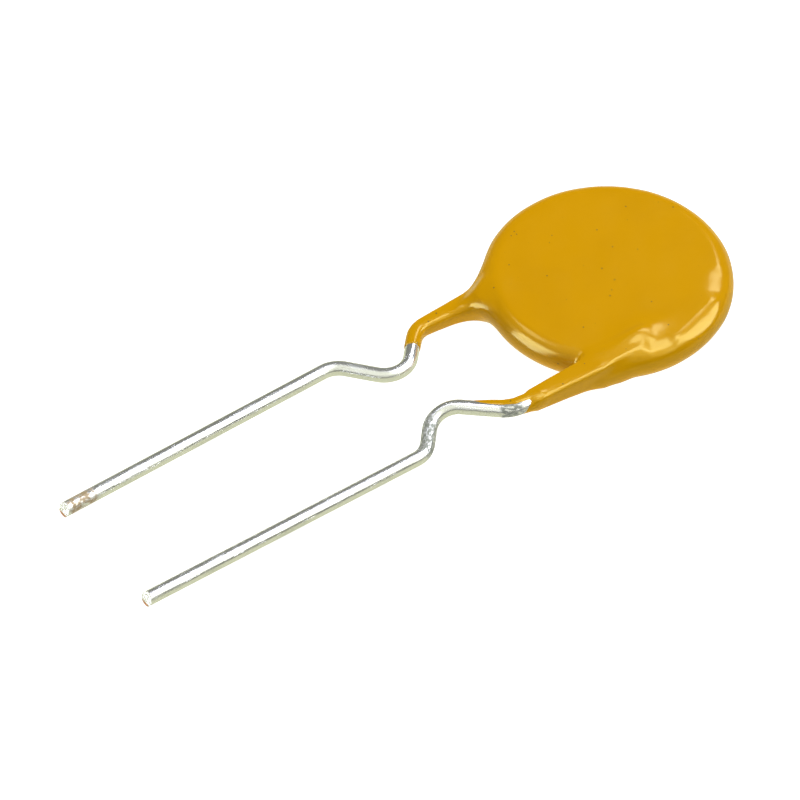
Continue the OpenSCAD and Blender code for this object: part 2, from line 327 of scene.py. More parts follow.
@dataclass(frozen=True)
class TinFinish:
    """Bright tin on drawn wire, with die lines and dull patches.

    Args:
        name: The material's name.
        scuffs: Where a brown scuff starts and ends, in millimetres from the tip.
        dark_lengths: Where the tin turns dark grey-green and dull, in the same way.
    """

    name: str
    scuffs: tuple[tuple[float, float], ...] = ()
    dark_lengths: tuple[tuple[float, float], ...] = ()
    tin: Colour = (0.86, 0.865, 0.83)
    dull_tin: Colour = (0.62, 0.63, 0.58)
    scratch: Colour = (0.26, 0.27, 0.22)
    scuffed: Colour = (0.34, 0.23, 0.09)
    dark_dull_tone: Colour = (0.17, 0.19, 0.145)
    shine: float = 0.85

    @staticmethod
    def _zone(along: Signal, crumbs: Signal, ends: tuple[float, float]) -> Signal:
        """A crumbly-edged length of the wire.

        Args:
            along: Length from the tip.
            crumbs: Noise that breaks up the zone.
            ends: Where it starts and ends.

        Returns:
            1 in the zone, 0 outside it.
        """
        ragged = along + 0.4 * (crumbs - 0.5)
        start, end = ends
        inside = ragged.smooth(start - 0.1, start + 0.1) * (1 - ragged.smooth(end - 0.25, end))
        return inside * crumbs.smooth(0.36, 0.56)

    def material(self) -> bpy.types.Material:
        """Makes the material."""
        bench = FinishBench(self.name)
        wire = bench.node("ShaderNodeAttribute", {"attribute_name": WireLead.COORDINATES}).outputs["Vector"]
        along = bench.axis(wire, "X")
        lines = bench.streaks(wire, (0.7, 26.0, 26.0), detail=3.0)
        scratches = bench.streaks(wire, (1.6, 60.0, 60.0), detail=1.0).smooth(0.66, 0.78)
        patches = bench.streaks(wire, (1.1, 2.75, 2.75), detail=4.0).smooth(0.5, 0.75)
        crumbs = bench.streaks(wire, (5.0, 9.0, 9.0), detail=4.0)
        mottle = bench.streaks(wire, (7.0, 16.0, 16.0), detail=4.0)
        colour = bench.blend(0.6 * patches, self.tin, self.dull_tin)
        colour = bench.blend(0.55 * scratches, colour, self.scratch)
        roughness = 0.17 + 0.10 * lines + 0.16 * patches
        metallic: Signal | float = self.shine
        marks = [(ends, crumbs, self.scuffed) for ends in self.scuffs]
        # The given dark lengths turn the tin dark grey-green, rougher and barely metallic, broken up by a
        # mottle.
        marks += [(ends, mottle, self.dark_dull_tone) for ends in self.dark_lengths]
        for ends, breaks, tone in marks:
            mask = 0.9 * self._zone(along, breaks, ends)
            colour = bench.blend(mask, colour, tone)
            roughness = roughness + 0.25 * mask
            metallic = metallic * (1 - mask)
        return bench.dress(
            Base_Color=colour,
            Metallic=metallic,
            Roughness=roughness,
            Normal=bench.bump(lines - 0.5 * scratches, 0.006),
        )


@dataclass(frozen=True)
class CutFinish:
    """The copper of the wire, bared at its cut end, with tin smeared over part of it."""

    copper: Colour = (0.62, 0.27, 0.12)
    smear: Colour = (0.34, 0.27, 0.18)

    def material(self) -> bpy.types.Material:
        """Makes the material."""
        bench = FinishBench("bared_copper")
        drag = bench.streaks(bench.place_mm(), (6.0, 5.0, 30.0), detail=3.0)
        return bench.dress(
            Base_Color=bench.blend(drag.smooth(0.5, 0.7), self.copper, self.smear),
            Metallic=1.0,
            Roughness=0.32 + 0.2 * drag,
            Normal=bench.bump(drag, 0.01),
        )


@dataclass(frozen=True)
class PolymerFinish:
    """Black carbon-filled polymer, matt and slightly grainy."""

    black: Colour = (0.012, 0.012, 0.013)
    grey: Colour = (0.035, 0.035, 0.037)

    def material(self) -> bpy.types.Material:
        """Makes the material."""
        bench = FinishBench("carbon_polymer")
        grain = bench.noise(bench.place_mm(), scale=9.0, detail=4.0)
        return bench.dress(
            Base_Color=bench.blend(grain.smooth(0.4, 0.7), self.black, self.grey),
            Roughness=0.6 + 0.2 * grain,
            Normal=bench.bump(grain, 0.01),
        )


@dataclass(frozen=True)
class FoilFinish:
    """Matt nickel foil with the nodules that key it to the polymer."""

    nickel: Colour = (0.60, 0.57, 0.50)
    shade: Colour = (0.42, 0.40, 0.36)

    def material(self) -> bpy.types.Material:
        """Makes the material."""
        bench = FinishBench("nickel_foil")
        place = bench.place_mm()
        nodules = bench.noise(place, scale=14.0, detail=2.0)
        rolled = bench.streaks(place, (0.5, 12.0, 12.0), detail=2.0)
        return bench.dress(
            Base_Color=bench.blend(nodules.smooth(0.35, 0.7), self.shade, self.nickel),
            Metallic=1.0,
            Roughness=0.36 + 0.18 * rolled,
            Normal=bench.bump(0.5 * nodules + 0.5 * rolled, 0.006),
        )


@dataclass(frozen=True)
class SolderFinish:
    """Satin solder with a frosted skin."""

    bright: Colour = (0.72, 0.72, 0.71)
    frost: Colour = (0.50, 0.50, 0.50)

    def material(self) -> bpy.types.Material:
        """Makes the material."""
        bench = FinishBench("satin_solder")
        skin = bench.noise(bench.place_mm(), scale=5.0, detail=4.0)
        return bench.dress(
            Base_Color=bench.blend(skin.smooth(0.4, 0.65), self.bright, self.frost),
            Metallic=1.0,
            Roughness=0.22 + 0.25 * skin,
            Normal=bench.bump(skin, 0.012),
        )


class Workbench:
    """The modelling moves that the pieces share. Lengths are millimetres from the disc's middle."""

    @staticmethod
    def clear() -> None:
        """Leaves edit mode and deselects everything."""
        if bpy.context.object and bpy.context.object.mode != "OBJECT":
            bpy.ops.object.mode_set(mode="OBJECT")
        bpy.ops.object.select_all(action="DESELECT")

    @classmethod
    def take(cls, piece: Piece) -> None:
        """Makes a piece the only selected and active one."""
        cls.clear()
        piece.select_set(True)
        bpy.context.view_layer.objects.active = piece

    @classmethod
    def apply(cls, piece: Piece, kind: str, **settings: Any) -> None:
        """Adds a modifier and applies it.

        Args:
            piece: The piece to change.
            kind: The modifier's type.
            **settings: The modifier's properties.
        """
        cls.take(piece)
        modifier = piece.modifiers.new(kind.lower(), kind)
        for key, value in settings.items():
            setattr(modifier, key, value)
        bpy.ops.object.modifier_apply(modifier=modifier.name)

    @classmethod
    def join(cls, piece: Piece, others: Iterable[Piece]) -> None:
        """Joins other pieces into one."""
        cls.take(piece)
        for other in others:
            other.select_set(True)
        bpy.ops.object.join()

    @classmethod
    def set_down(cls, piece: Piece, centre: Vector) -> None:
        """Moves a piece from millimetres about the disc's middle to metres in the frame."""
        cls.take(piece)
        bpy.ops.object.transform_apply()
        piece.data.transform(Matrix.Translation(centre) @ Matrix.Scale(METRES_PER_MM, 4))
        piece.data.update()

    @staticmethod
    def points(piece: Piece) -> np.ndarray:
        """The piece's points, one to a row."""
        flat = np.empty(3 * len(piece.data.vertices), np.float32)
        piece.data.vertices.foreach_get("co", flat)
        return flat.reshape(-1, 3).astype(float)

    @staticmethod
    def move_points(piece: Piece, points: np.ndarray) -> None:
        """Puts the piece's points in new places."""
        piece.data.vertices.foreach_set("co", points.astype(np.float32).ravel())
        piece.data.update()


@dataclass
class WirePath:
    """The centre line of a bent wire: straight runs between corners that are bent to one radius."""

    corners: list[Vector]
    bend_r: float

    def turn(self, i: int) -> float:
        """The angle that the wire turns through at corner i."""
        return (self.corners[i] - self.corners[i - 1]).angle(self.corners[i + 1] - self.corners[i])

    def setback(self, i: int) -> float:
        """The length that the bend at corner i takes off each side."""
        last = len(self.corners) - 1
        return 0.0 if i in (0, last) else self.bend_r * math.tan(self.turn(i) / 2)

    def along(self, i: int) -> Vector:
        """The direction of the run that ends at corner i."""
        return (self.corners[i] - self.corners[i - 1]).normalized()

    def axis(self, i: int) -> Vector:
        """The axis that the bend at corner i turns about."""
        return self.along(i).cross(self.along(i + 1)).normalized()

    def centre(self, i: int) -> Vector:
        """The centre of the bend at corner i."""
        inward = self.axis(i).cross(self.along(i))
        return self.corners[i] - self.setback(i) * self.along(i) + self.bend_r * inward

    def run(self, i: int) -> float:
        """The straight length that ends at corner i's bend."""
        whole = (self.corners[i] - self.corners[i - 1]).length
        return whole - self.setback(i - 1) - self.setback(i)

    def sample(self, length: float) -> tuple[Vector, Vector]:
        """A place on the centre line.

        Args:
            length: Length along the wire from its first corner.

        Returns:
            The place and the wire's direction there.
        """
        last = len(self.corners) - 1
        for i in range(1, last + 1):
            start = self.corners[i - 1] + self.setback(i - 1) * self.along(i)
            if length <= self.run(i) or i == last:
                return start + length * self.along(i), self.along(i)
            length -= self.run(i)
            arc = self.bend_r * self.turn(i)
            if length <= arc:
                spin = Matrix.Rotation(length / self.bend_r, 3, self.axis(i))
                begin = self.corners[i] - self.setback(i) * self.along(i)
                return self.centre(i) + spin @ (begin - self.centre(i)), spin @ self.along(i)
            length -= arc
        raise ValueError("the wire has no run")


@dataclass
class WireLead:
    """One tinned wire lead: soldered end, inward kink, straight end and a chisel-cut tip.

    Args:
        root: How far its buried run lies from the middle line of the disc.
        first_bend: Where the kink starts, from the middle of the disc.
        apex: How far the kink's apex lies from the middle line.
        apex_lift: How much of the way from the buried run to the bench the apex has come.
        kink_in: Length of the kink before its apex.
        kink_out: Length of the kink after its apex.
        drift: How far the tip leans sideways.
        trim: How much shorter the lead is than its solid.
    """

    COORDINATES = "wire_mm"

    name: str
    node: str
    face: Face
    finish: TinFinish
    cut: CutFinish
    root: float
    first_bend: float
    apex: float
    apex_lift: float
    kink_in: float
    kink_out: float
    drift: float
    trim: float
    wire_d: float = 0.51
    bend_r: float = 0.9
    buried_z: float = 0.375
    buried_end: float = 0.8
    pitch: float = 5.1
    pitch_shift: float = 0.08
    ring: int = 40
    bend_steps: int = 14
    run_step: float = 0.55
    chisel_l: float = 0.16
    chisel_rise: float = 0.13
    square_on: float = 0.95
    tip_slack: float = 0.01
    crease: float = 35.0
    path: WirePath = field(init=False)
    centre: Vector = field(init=False)

    def lay_out(self, centre: Vector) -> None:
        """Works out the centre line from the frame.

        Args:
            centre: The middle of the disc, in metres.
        """
        self.centre = centre
        side = self.face.value
        tip = (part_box(self.node)[0].x - centre.x) * MM_PER_METRE + self.trim
        bench_z = -centre.z * MM_PER_METRE + self.wire_d / 2
        buried_z = side * self.buried_z
        tail_y = self.pitch_shift - side * self.pitch / 2
        apex_x = -self.first_bend - self.kink_in
        corners = [
            Vector((-self.buried_end, -side * self.root, buried_z)),
            Vector((-self.first_bend, -side * self.root, buried_z)),
            Vector((apex_x, -side * self.apex, buried_z + (bench_z - buried_z) * self.apex_lift)),
            Vector((apex_x - self.kink_out, tail_y, bench_z)),
            Vector((tip, tail_y + self.drift, bench_z)),
        ]
        self.path = WirePath(corners, self.bend_r)

    def build(self) -> Piece:
        """Draws the wire along its centre line and cuts its tip.

        Returns:
            The lead.
        """
        Workbench.clear()
        bpy.ops.mesh.primitive_circle_add(
            vertices=self.ring,
            radius=self.wire_d / 2,
            fill_type="NOTHING",
            location=self.path.corners[0],
            rotation=(0.0, -math.pi / 2, 0.0),
        )
        lead = bpy.context.object
        lead.name = lead.data.name = self.name
        bpy.ops.object.transform_apply()
        bpy.ops.object.mode_set(mode="EDIT")
        bpy.ops.mesh.select_all(action="SELECT")
        lengths = [0.0]
        last = len(self.path.corners) - 1
        for i in range(1, last + 1):
            steps = max(1, round(self.path.run(i) / self.run_step))
            stride = self.path.along(i) * (self.path.run(i) / steps)
            for _ in range(steps):
                bpy.ops.mesh.extrude_edges_move(TRANSFORM_OT_translate={"value": stride})
                lengths.append(lengths[-1] + stride.length)
            if i < last:
                bpy.ops.mesh.spin(
                    steps=self.bend_steps,
                    angle=-self.path.turn(i),
                    center=self.path.centre(i),
                    axis=self.path.axis(i),
                )
                arc = self.path.turn(i) * self.bend_r / self.bend_steps
                lengths += [lengths[-1] + arc * (k + 1) for k in range(self.bend_steps)]
        bpy.ops.object.mode_set(mode="OBJECT")
        self._note_drawing(lead, lengths)
        self._cap_and_cut(lead)
        return lead

    def _note_drawing(self, lead: Piece, lengths: Sequence[float]) -> None:
        """Stores each point's place on the straight wire that the lead was bent from.

        Args:
            lead: The swept rings, in the order they were drawn.
            lengths: Each ring's length along the wire.
        """
        points = Workbench.points(lead)
        ring = points[: self.ring] - np.array(self.path.corners[0])
        from_tip = np.repeat(lengths[-1] - np.array(lengths), self.ring)
        drawn = np.column_stack([from_tip, np.tile(ring[:, 1:], (len(lengths), 1))])
        if len(drawn) != len(points):
            raise ValueError(f"{self.name}: {len(points)} points on {len(lengths)} rings")
        noted = lead.data.attributes.new(self.COORDINATES, "FLOAT_VECTOR", "POINT")
        noted.data.foreach_set("vector", drawn.astype(np.float32).ravel())

    def _cap_and_cut(self, lead: Piece) -> None:
        """Closes both ends and shears the tip, with a short square step left at its foot."""
        Workbench.take(lead)
        bpy.ops.object.mode_set(mode="EDIT")
        bpy.ops.mesh.select_mode(type="EDGE")
        bpy.ops.mesh.select_all(action="DESELECT")
        bpy.ops.mesh.select_non_manifold()
        bpy.ops.mesh.edge_face_add()
        bpy.ops.mesh.select_all(action="SELECT")
        bpy.ops.mesh.normals_make_consistent(inside=False)
        slope = math.atan2(self.wire_d - self.chisel_rise, self.chisel_l)
        bpy.ops.mesh.bisect(
            plane_co=self.path.corners[-1] + Vector((0.0, 0.0, self.chisel_rise - self.wire_d / 2)),
            plane_no=Vector((-math.sin(slope), 0.0, math.cos(slope))),
            use_fill=True,
            clear_outer=True,
        )
        bpy.ops.object.mode_set(mode="OBJECT")

    def dress(self, lead: Piece) -> None:
        """Gives the lead its tin, and its cut end bare copper."""
        lead.data.materials.append(self.finish.material())
        lead.data.materials.append(self.cut.material())
        tip = self.path.corners[-1].x
        for polygon in lead.data.polygons:
            if polygon.normal.x < -self.square_on and abs(polygon.center.x - tip) < self.tip_slack:
                polygon.material_index = 1
        Workbench.take(lead)
        bpy.ops.object.shade_smooth_by_angle(angle=math.radians(self.crease))

    def fit(self, lead: Piece) -> None:
        """Sets the lead down in the frame in place of its solid."""
        Workbench.set_down(lead, self.centre)
        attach(lead, "root")
        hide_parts(self.node)


@dataclass(frozen=True)
class Bead:
    """A ball of resin: its middle, its radius, and 2 for a round section or more for a squarer one."""

    middle: tuple[float, float, float]
    radius: float
    corner: float = 2.0


@dataclass(frozen=True)
class SleeveForm:
    """The resin on one lead.

    Args:
        cover: Resin beside the buried wire where it starts, less than 0 where a swelling covers it.
        rim_r: Half its width at the rim.
        end_r: Half its width at its end.
        taper: 1 for an even taper, more for one that thins early.
        rim_sag: How far its middle lies inward and towards the chip from the wire, at the rim.
        end_sag: The same at its end.
        corners: 2 for a round section, more for a squarer one, at the rim and at its end.
        web: Width of the fillet where it meets the rim, on its inner side.
        outer_web: The same on its outer side.
        level: How much of the web's width is left on the lead's own face and on the other one.
        ridge: Width of the fillet along the buried wire.
    """

    cover: float
    rim_r: float
    end_r: float
    taper: float
    rim_sag: tuple[float, float]
    end_sag: tuple[float, float]
    corners: tuple[float, float]
    web: float
    outer_web: float
    level: tuple[float, float]
    ridge: float


@dataclass(frozen=True)
class ShoulderFlat:
    """A soft flat where the resin drew back on the rim's upper shoulder.

    Args:
        bearing: Its direction from the middle of the disc, in degrees.
        slope: How far it leans from level, in degrees.
        depth: How far it lies below the round shoulder.
        reach: Half its length along the rim, where it fades out.
    """

    bearing: float
    slope: float
    depth: float
    reach: float


@dataclass(frozen=True)
class Film:
    """Resin on one side of a wire.

    Args:
        lean: The side of the wire that it is on.
        stations: Length past the sleeve's end, offset from the wire's middle and radius of each bead.
    """

    lean: tuple[float, float, float]
    stations: tuple[tuple[float, float, float], ...]


@dataclass
class DippedCoat:
    """The cured skin over the disc, its webs, its sleeves on the leads and the run on the upper one."""

    name: str
    node: str
    finish: ResinFinish
    upper: WireLead
    lower: WireLead
    disc_d: float = 8.6
    disc_t: float = 1.25
    upper_form: SleeveForm = SleeveForm(
        cover=-0.05, rim_r=0.445, end_r=0.325, taper=1.0, rim_sag=(0.0, 0.16), end_sag=(0.03, 0.035),
        corners=(5.0, 5.0), web=0.16, outer_web=0.9, level=(0.0, 1.0), ridge=0.28,
    )
    lower_form: SleeveForm = SleeveForm(
        cover=0.035, rim_r=0.45, end_r=0.28, taper=2.0, rim_sag=(0.12, -0.12), end_sag=(0.0, 0.0),
        corners=(4.0, 2.2), web=1.4, outer_web=0.7, level=(1.0, 0.5), ridge=0.15,
    )
    upper_coat: float = 5.45
    lower_coat: float = 3.6
    lower_steps: int = 16
    face_web: float = 0.35
    web_reach: float = 1.75
    flush_z: float = 0.665
    flush_edge: float = 0.08
    run: Film = Film(
        (0.45, 0.75, 0.28),
        (
            (-0.5, 0.0, 0.20), (0.0, 0.08, 0.25), (0.3, 0.10, 0.258), (0.75, 0.125, 0.256),
            (1.2, 0.125, 0.247), (1.65, 0.10, 0.236), (2.28, 0.03, 0.227),
        ),
    )
    lip: Film = Film((0.0, -0.6, -0.8), ((-0.2, 0.03, 0.315), (0.2, 0.06, 0.275), (0.55, 0.03, 0.236)))
    run_blend: float = 0.07
    flats: tuple[ShoulderFlat, ...] = (
        ShoulderFlat(-99.0, 19.5, 0.045, 0.62),
        ShoulderFlat(-46.0, 12.0, 0.04, 0.75),
        ShoulderFlat(-73.0, 27.0, 0.03, 1.2),
    )
    flat_edge: float = 0.08
    flat_core: float = 0.4
    flat_fade: float = 1.4
    flat_lift: float = 4.0
    end_reach: float = 0.8
    end_ragged: float = 0.02
    swelling_at: tuple[float, float] = (-1.05, -2.97)
    swelling_size: tuple[float, float] = (0.60, 0.27)
    swelling_rise: float = 0.13
    slow_waves: float = 0.006
    quick_waves: float = 0.005
    rim_bevel: float = 0.48
    cone_lap: float = 0.1
    voxels: tuple[float, ...] = (0.09, 0.05)
    settle_rounds: int = 6
    longest_step: float = 0.12
    least_steep: float = 0.2
    probe: float = 0.003
    chains: dict[str, list[Bead]] = field(init=False)
    centre: Vector = field(init=False)

    def lay_out(self, centre: Vector) -> None:
        """Strings the beads of resin along both leads.

        Args:
            centre: The middle of the disc, in metres.
        """
        self.centre = centre
        upper_end = self.upper_coat - self._rim(self.upper)
        lower_lengths = [self.lower_coat * i / self.lower_steps for i in range(self.lower_steps + 1)]
        self.chains = {
            "upper": self._sleeve(self.upper, self.upper_form, [0.0, upper_end]),
            "lower": self._sleeve(self.lower, self.lower_form, lower_lengths),
            "run": self._film(self.run),
            "lip": self._film(self.lip),
        }

    def _rim(self, lead: WireLead) -> float:
        """Where a lead crosses the thick part of the rim, from the middle of the disc."""
        return math.sqrt((self.disc_d / 2) ** 2 - lead.root**2)

    def _sleeve(self, lead: WireLead, form: SleeveForm, lengths: Sequence[float]) -> list[Bead]:
        """A chain of beads over a buried wire and down its sleeve.

        Args:
            lead: The lead that the sleeve is on.
            form: The sleeve's sizes.
            lengths: Where the beads are, measured on from the rim.

        Returns:
            The beads in order.
        """
        side = lead.face.value
        start = self._rim(lead) - lead.buried_end
        beads = [Bead(tuple(lead.path.corners[0]), lead.wire_d / 2 + form.cover, form.corners[0])]
        for length in lengths:
            left = 1 - length / lengths[-1]
            sag = left ** ((1 + form.taper) / 2)
            across, down = (b + (a - b) * sag for a, b in zip(form.rim_sag, form.end_sag))
            place = lead.path.sample(start + length)[0] + Vector((0.0, side * across, -side * down))
            radius = form.end_r + (form.rim_r - form.end_r) * left**form.taper
            corner = form.corners[1] + (form.corners[0] - form.corners[1]) * left
            beads.append(Bead(tuple(place), radius, corner))
        return beads

    def _film(self, film: Film) -> list[Bead]:
        """A chain of beads on one side of the upper lead, past the end of its sleeve."""
        start, lean = self.upper_coat - self.upper.buried_end, Vector(film.lean)
        beads = []
        for length, offset, radius in film.stations:
            place, along = self.upper.path.sample(start + length)
            off = (lean - lean.dot(along) * along).normalized()
            beads.append(Bead(tuple(place + offset * off), radius))
        return beads

    def _disc_depth(self, p: np.ndarray) -> np.ndarray:
        """Distance from the round-edged disc, less than 0 inside it."""
        edge = self.disc_t / 2
        out = np.hypot(p[:, 0], p[:, 1]) - self.disc_d / 2 + edge
        return np.where(out > 0, np.hypot(out, p[:, 2]), np.abs(p[:, 2])) - edge

    @staticmethod
    def _chain_depth(p: np.ndarray, chain: Sequence[Bead]) -> np.ndarray:
        """Distance from a chain of beads, less than 0 inside it.

        Args:
            p: Points, one to a row.
            chain: The beads.

        Returns:
            One distance for each point.
        """
        nearest = np.full(len(p), np.inf)
        for first, second in zip(chain, chain[1:]):
            a, b = np.array(first.middle), np.array(second.middle)
            length = np.linalg.norm(b - a)
            along = (b - a) / length
            level = np.cross((0.0, 0.0, 1.0), along)
            level /= np.linalg.norm(level)
            t = np.clip((p - a) @ along / length, 0, 1)
            off = p - a - t[:, None] * (b - a)
            corner = first.corner + (second.corner - first.corner) * t
            flat, tall = np.abs(off @ level), np.abs(off @ np.cross(along, level))
            across = (flat**corner + tall**corner) ** (1 / corner)
            nearest = np.minimum(
                nearest, np.hypot(across, off @ along) - first.radius - (second.radius - first.radius) * t
            )
        return nearest

    @staticmethod
    def _fill(a: np.ndarray, b: np.ndarray, width: np.ndarray | float) -> np.ndarray:
        """Joins two surfaces with the fillet that surface tension would leave."""
        return np.minimum(a, b) - np.maximum(width - np.abs(a - b), 0) ** 2 / width / 4

    def _web(self, p: np.ndarray, lead: WireLead, form: SleeveForm) -> np.ndarray:
        """Width of the fillet: narrow along the buried wire, and a web at the rim."""
        side = lead.face.value
        up = side * p[:, 2] / (self.disc_t / 2)
        inner = self._ease((side * p[:, 1] + lead.root) / lead.wire_d + 0.5)
        web = form.outer_web + (form.web - form.outer_web) * inner
        own, other = form.level
        low = (own + (1 - own) * self._ease(1 - up)) * (other + (1 - other) * self._ease(2 + 2 * up))
        web = self.face_web + (web - self.face_web) * low
        near = self._ease((-p[:, 0] - self._rim(lead) + self.web_reach) / self.disc_t)
        return form.ridge + (web - form.ridge) * near

    @staticmethod
    def _ease(t: np.ndarray) -> np.ndarray:
        """A smooth step from 0 to 1."""
        t = np.clip(t, 0, 1)
        return t * t * (3 - 2 * t)

    def _past_end(self, p: np.ndarray) -> np.ndarray:
        """How far points are past the square end of the lower sleeve, or far short of it elsewhere."""
        start = self._rim(self.lower) - self.lower.buried_end
        place, along = self.lower.path.sample(start + self.lower_coat)
        off = p - np.array(place)
        past = off @ np.array(along) + self.end_ragged * np.sin(14.0 * p[:, 1] + 9.0 * p[:, 2])
        return np.where(np.linalg.norm(off, axis=1) < self.end_reach, past, -1.0)

    def _flat_depth(self, p: np.ndarray, flat: ShoulderFlat) -> np.ndarray:
        """How far points are above a flat on the shoulder, far below it away from there."""
        bearing, slope = math.radians(flat.bearing), math.radians(flat.slope)
        out = np.array((math.cos(bearing), math.sin(bearing), 0.0))
        along = np.array((-out[1], out[0], 0.0))
        normal = out * math.sin(slope) + np.array((0.0, 0.0, math.cos(slope)))
        edge = self.disc_t / 2
        height = (self.disc_d / 2 - edge) * math.sin(slope) + edge - flat.depth
        fade = self._ease((np.abs(p @ along) - self.flat_core * flat.reach) / (self.flat_fade * flat.reach))
        return p @ normal - height - self.flat_lift * flat.depth * fade

    def _unevenness(self, p: np.ndarray) -> np.ndarray:
        """The slight unevenness of a dipped skin, and a swelling over the end of a wire."""
        x, y, z = p.T
        slow = np.sin(1.7 * x + 0.9 * y + 0.4) * np.sin(1.3 * y - 0.6 * x + 1.1)
        quick = np.sin(4.1 * x + 1.2) * np.sin(3.7 * y + 2.3 * z) * np.sin(2.9 * z - 1.9 * x)
        (middle_x, middle_y), (size_x, size_y) = self.swelling_at, self.swelling_size
        swelling = np.exp(-(((x - middle_x) / size_x) ** 2 + ((y - middle_y) / size_y) ** 2) / 2)
        waves = self.slow_waves * slow + self.quick_waves * quick
        return waves + self.swelling_rise * swelling * np.clip(3 * z, 0, 1)

    def depth(self, p: np.ndarray) -> np.ndarray:
        """Distance from the skin, less than 0 inside it.

        Args:
            p: Points, one to a row.

        Returns:
            One distance for each point.
        """
        whole = self._disc_depth(p)
        for name, lead, form in (
            ("upper", self.upper, self.upper_form),
            ("lower", self.lower, self.lower_form),
        ):
            sleeve = self._chain_depth(p, self.chains[name])
            whole = self._fill(whole, sleeve, self._web(p, lead, form))
        whole = -self._fill(-whole, self.flush_z - np.abs(p[:, 2]), self.flush_edge)
        for flat in self.flats:
            whole = -self._fill(-whole, -self._flat_depth(p, flat), self.flat_edge)
        for name in ("run", "lip"):
            whole = self._fill(whole, self._chain_depth(p, self.chains[name]), self.run_blend)
        return np.maximum(whole - self._unevenness(p), self._past_end(p))

    def settle(self, p: np.ndarray) -> np.ndarray:
        """Draws points onto the skin.

        Args:
            p: Points near the skin, one to a row.

        Returns:
            The points on it.
        """
        nudges = np.eye(3) * self.probe
        for _ in range(self.settle_rounds):
            rises = [self.depth(p + nudge) - self.depth(p - nudge) for nudge in nudges]
            slope = np.column_stack(rises) / (2 * self.probe)
            steep = np.maximum((slope**2).sum(1), self.least_steep)
            step = (self.depth(p) / steep)[:, None] * slope
            size = np.linalg.norm(step, axis=1, keepdims=True)
            p = p - step * np.minimum(1, self.longest_step / np.maximum(size, 1e-9))
        return p

    def build(self) -> Piece:
        """Joins rough seeds of the disc and its sleeves, then remeshes and settles the skin twice.

        Returns:
            The coat.
        """
        Workbench.clear()
        bpy.ops.mesh.primitive_cylinder_add(vertices=96, radius=self.disc_d / 2, depth=self.disc_t)
        coat = bpy.context.object
        coat.name = coat.data.name = self.name
        Workbench.apply(coat, "BEVEL", width=self.rim_bevel * self.disc_t, segments=6, limit_method="ANGLE")
        Workbench.join(coat, [cone for chain in self.chains.values() for cone in self._seed_chain(chain)])
        for voxel in self.voxels:
            Workbench.apply(coat, "REMESH", mode="VOXEL", voxel_size=voxel, use_smooth_shade=True)
            Workbench.apply(coat, "SMOOTH", factor=0.5, iterations=4)
            Workbench.move_points(coat, self.settle(Workbench.points(coat)))
        Workbench.apply(coat, "SMOOTH", factor=0.3, iterations=2)
        Workbench.take(coat)
        bpy.ops.object.shade_smooth()
        return coat

    def _seed_chain(self, chain: Sequence[Bead]) -> list[Piece]:
        """Rough cones along a chain of beads."""
        cones = []
        for first, second in zip(chain, chain[1:]):
            a, b = Vector(first.middle), Vector(second.middle)
            Workbench.clear()
            bpy.ops.mesh.primitive_cone_add(
                vertices=24,
                radius1=first.radius,
                radius2=second.radius,
                depth=(b - a).length + self.cone_lap,
                location=(a + b) / 2,
                rotation=(b - a).to_track_quat("Z", "Y").to_euler(),
            )
            bpy.ops.object.transform_apply()
            cones.append(bpy.context.object)
        return cones

    def dress(self, coat: Piece) -> None:
        """Gives the coat its resin."""
        coat.data.materials.clear()
        coat.data.materials.append(self.finish.material())

    def fit(self, coat: Piece) -> None:
        """Sets the coat down in the frame in place of its solid."""
        Workbench.set_down(coat, self.centre)
        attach(coat, "root")
        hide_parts(self.node)


@dataclass
class InnerStack:
    """The chip, its foils and its solder, sealed in the coat. Their solids stay as they are."""

    polymer: PolymerFinish = PolymerFinish()
    foil: FoilFinish = FoilFinish()
    solder: SolderFinish = SolderFinish()

    def dress(self, nodes: dict[str, Piece]) -> None:
        """Gives each sealed solid its finish.

        Args:
            nodes: The frame's meshes by name.
        """
        finishes = {
            self.polymer.material(): ("polymer_chip",),
            self.foil.material(): ("upper_foil", "lower_foil"),
            self.solder.material(): ("upper_solder", "lower_solder"),
        }
        for material, names in finishes.items():
            for name in names:
                nodes[name].data.materials.clear()
                nodes[name].data.materials.append(material)


@dataclass(frozen=True)
class Softbox:
    """A soft light, placed from the camera's side: degrees to its right, degrees up, and metres.

    A tilt leans its top to the right, seen from the part.
    """

    name: str
    right_of_camera: float
    elevation: float
    distance: float
    width: float
    height: float
    radiance: float
    use: LightUse = LightUse.HIGHLIGHT
    tilt: float = 0.0
    tint: Colour = (0.80, 0.82, 1.0)

    def place(self, camera_azimuth: float, target: Vector) -> None:
        """Hangs the light facing the target.

        Args:
            camera_azimuth: Direction of the camera from the part, in degrees.
            target: What the light faces.
        """
        azimuth = math.radians(camera_azimuth + self.right_of_camera)
        elevation = math.radians(self.elevation)
        level = math.cos(elevation)
        towards = Vector((math.cos(azimuth) * level, math.sin(azimuth) * level, math.sin(elevation)))
        lamp = bpy.data.lights.new(self.name, "AREA")
        lamp.shape = "RECTANGLE"
        lamp.size = self.width
        lamp.size_y = self.height
        lamp.color = self.tint
        lamp.energy = self.radiance * math.pi * self.width * self.height
        light = bpy.data.objects.new(self.name, lamp)
        light.location = target + self.distance * towards
        facing = (-towards).to_track_quat("-Z", "Y") @ Quaternion((0.0, 0.0, 1.0), math.radians(self.tilt))
        light.rotation_euler = facing.to_euler()
        light.visible_camera = False
        light.visible_diffuse = self.use is LightUse.FILL
        light.visible_glossy = self.use is LightUse.HIGHLIGHT
        bpy.context.scene.collection.objects.link(light)


